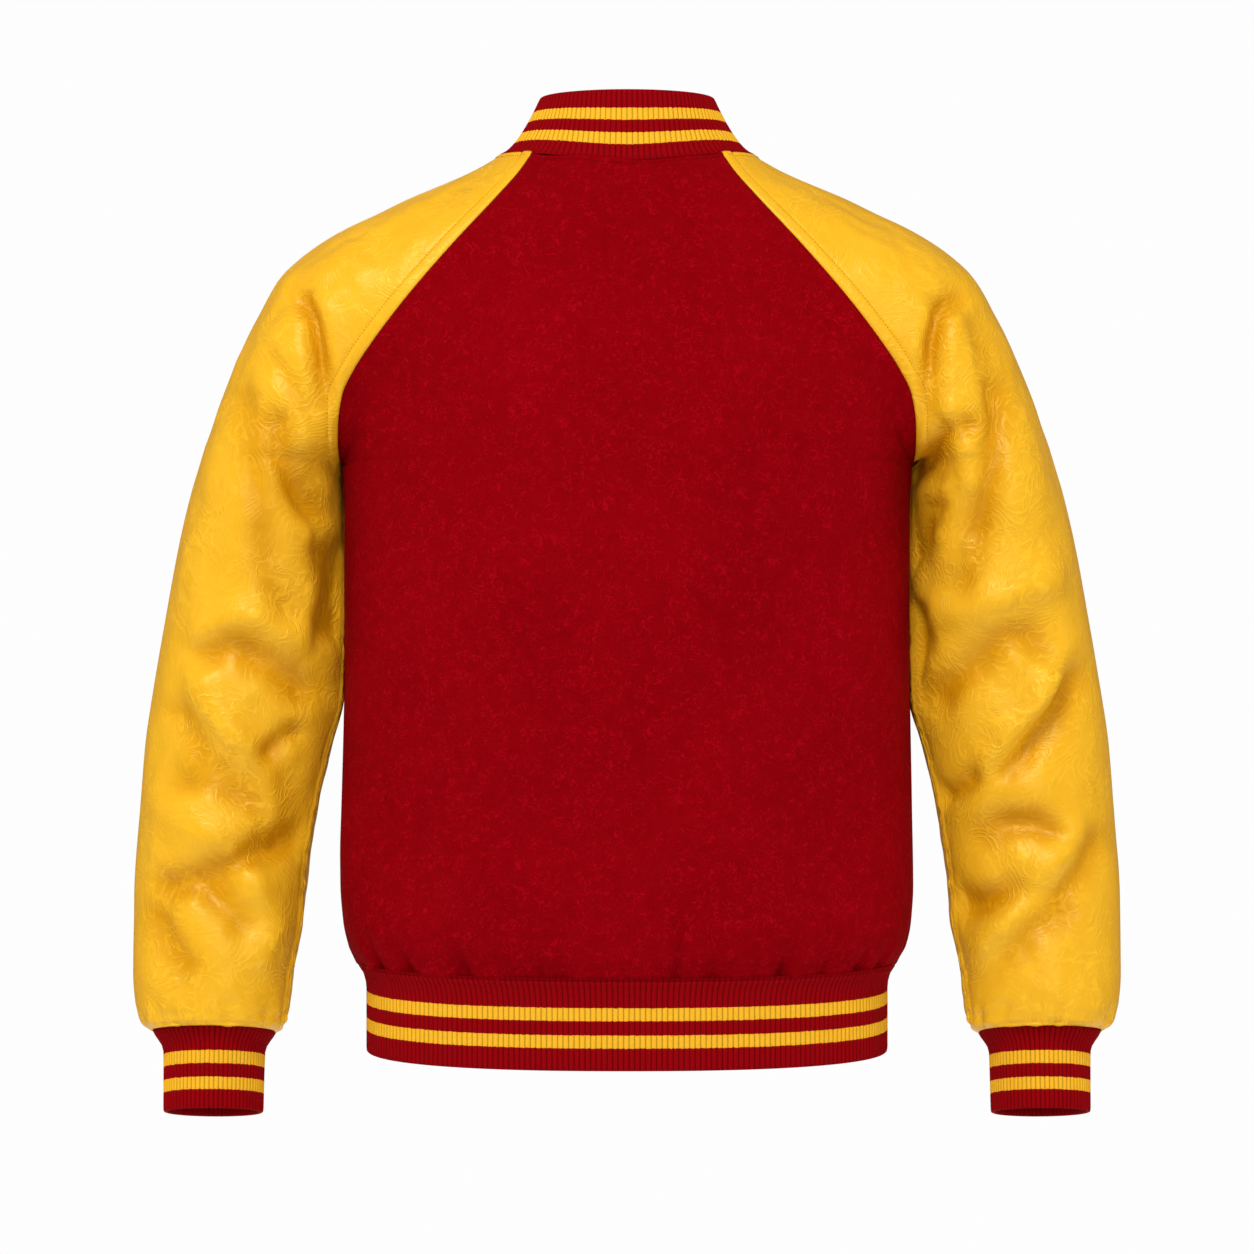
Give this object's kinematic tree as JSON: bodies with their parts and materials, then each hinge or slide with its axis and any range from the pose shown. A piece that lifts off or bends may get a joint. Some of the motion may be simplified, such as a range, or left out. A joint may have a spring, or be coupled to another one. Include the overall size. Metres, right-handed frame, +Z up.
{
  "type": "varsity jacket",
  "caption": "Varsity jacket filled out as worn: wool body, leather raglan sleeves, striped rib-knit collar, cuffs and hem band, front closed with snaps.",
  "frame": {"origin": "midway between the points where the neck seam crosses the two shoulders, where the wearer's shoulders and neck hold the jacket up", "axes": "+Z up, -Y the way the jacket's front faces, +Y its back, +X the wearer's left"},
  "size_m": [0.7186, 0.2791, 0.7446],
  "materials": {
    "wool": "brushed melton wool, dark red",
    "leather": "satin grained leather, yellow",
    "knit": "rib knit, dark red with two yellow stripes",
    "snap": "satin metal"
  },
  "bodies": {
    "root": {"back": "wool", "front_left": "wool", "front_right": "wool", "sleeve_left_back": "leather", "sleeve_left_front": "leather", "sleeve_right_back": "leather", "sleeve_right_front": "leather", "cuff_left": "knit", "cuff_right": "knit", "hem_band": "knit", "collar": "knit", "snap_1": "snap", "snap_2": "snap", "snap_3": "snap", "snap_4": "snap", "snap_5": "snap", "snap_6": "snap", "snap_7": "snap"}
  },
  "joints": []
}
